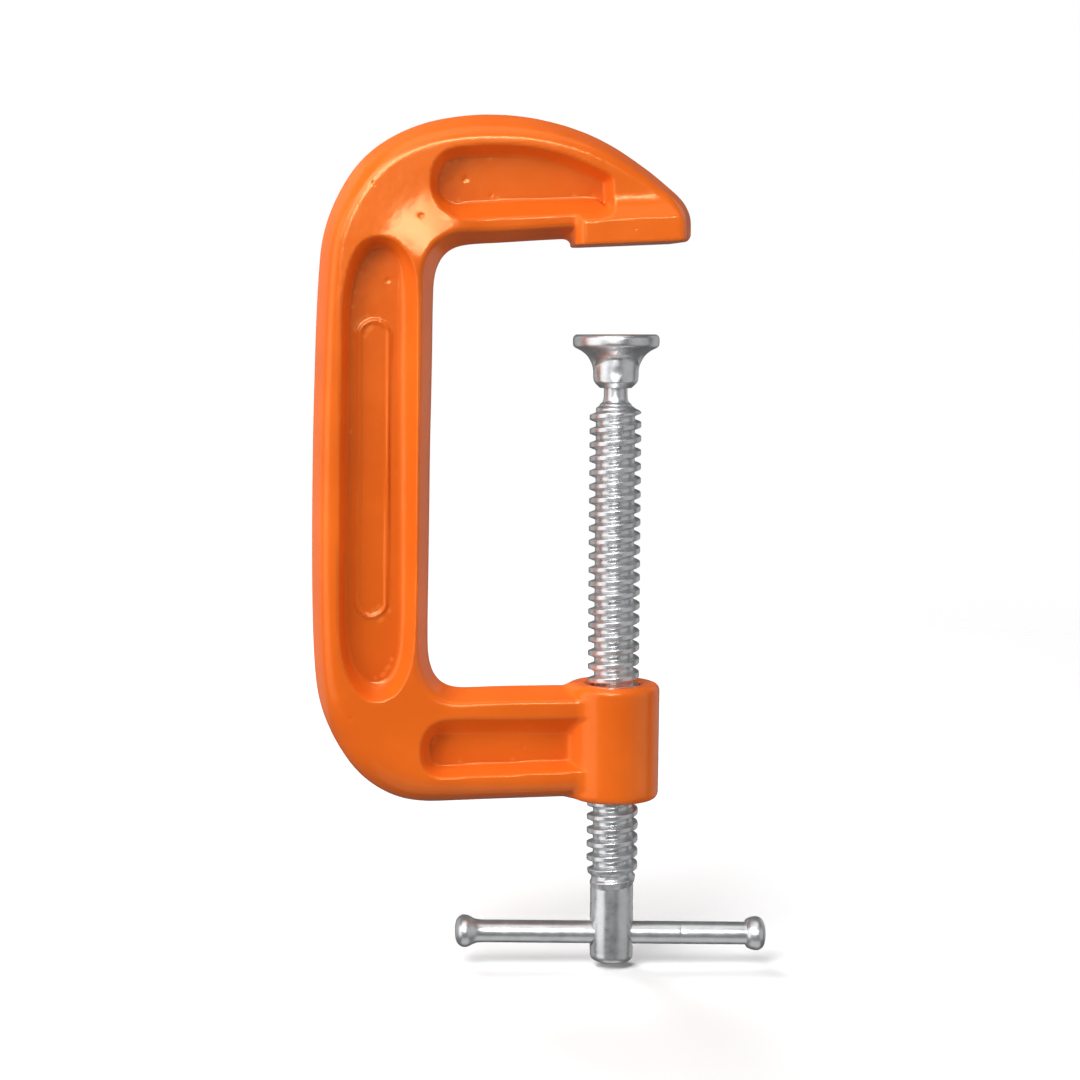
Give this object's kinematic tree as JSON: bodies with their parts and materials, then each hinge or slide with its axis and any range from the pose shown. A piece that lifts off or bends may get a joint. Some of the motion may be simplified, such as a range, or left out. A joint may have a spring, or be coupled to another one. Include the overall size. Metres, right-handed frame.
{
  "type": "c clamp",
  "caption": "C clamp with a cast C frame, an acme-type screw through a tapped boss, a swivel pad on the screw's ball end and a sliding cross bar.",
  "frame": {"origin": "on the anvil's contact face, where the screw's axis meets it", "axes": "+Z along the screw axis, from the screw towards the anvil; +X from the spine towards the arm tips; front and back of the casting face -Y and +Y, and the plane Y = 0 is the casting's parting plane"},
  "size_m": [0.1253, 0.025, 0.2323],
  "materials": {
    "frame_paint": "glossy orange enamel on a ductile iron casting, slight orange peel and small casting pits",
    "screw_plating": "bright zinc-plated steel with rolled thread",
    "pad_plating": "bright zinc-plated steel, crimped over the ball",
    "bar_plating": "bright zinc-plated drawn steel rod with upset heads"
  },
  "bodies": {
    "frame": {"frame": "frame_paint"},
    "pad": {"swivel_pad": "pad_plating"},
    "screw": {"screw": "screw_plating"},
    "bar": {"sliding_bar": "bar_plating"}
  },
  "joints": [
    {"name": "feed", "type": "slide", "parent": "frame", "child": "pad", "axis": [0, 0, 1], "range_m": [-0.0801, 0.0221]},
    {"name": "screw_turn", "type": "hinge", "parent": "pad", "child": "screw", "pos_m": [0, 0, -0.0343], "axis": [0, 0, 1], "range_deg": [-7579, 2084]},
    {"name": "bar_slide", "type": "slide", "parent": "screw", "child": "bar", "axis": [1, 0, 0], "range_m": [-0.0304, 0.03]}
  ],
  "couplings": [
    {"joint": "feed", "follows": "screw_turn", "m_per_rad": 0.00060479}
  ]
}
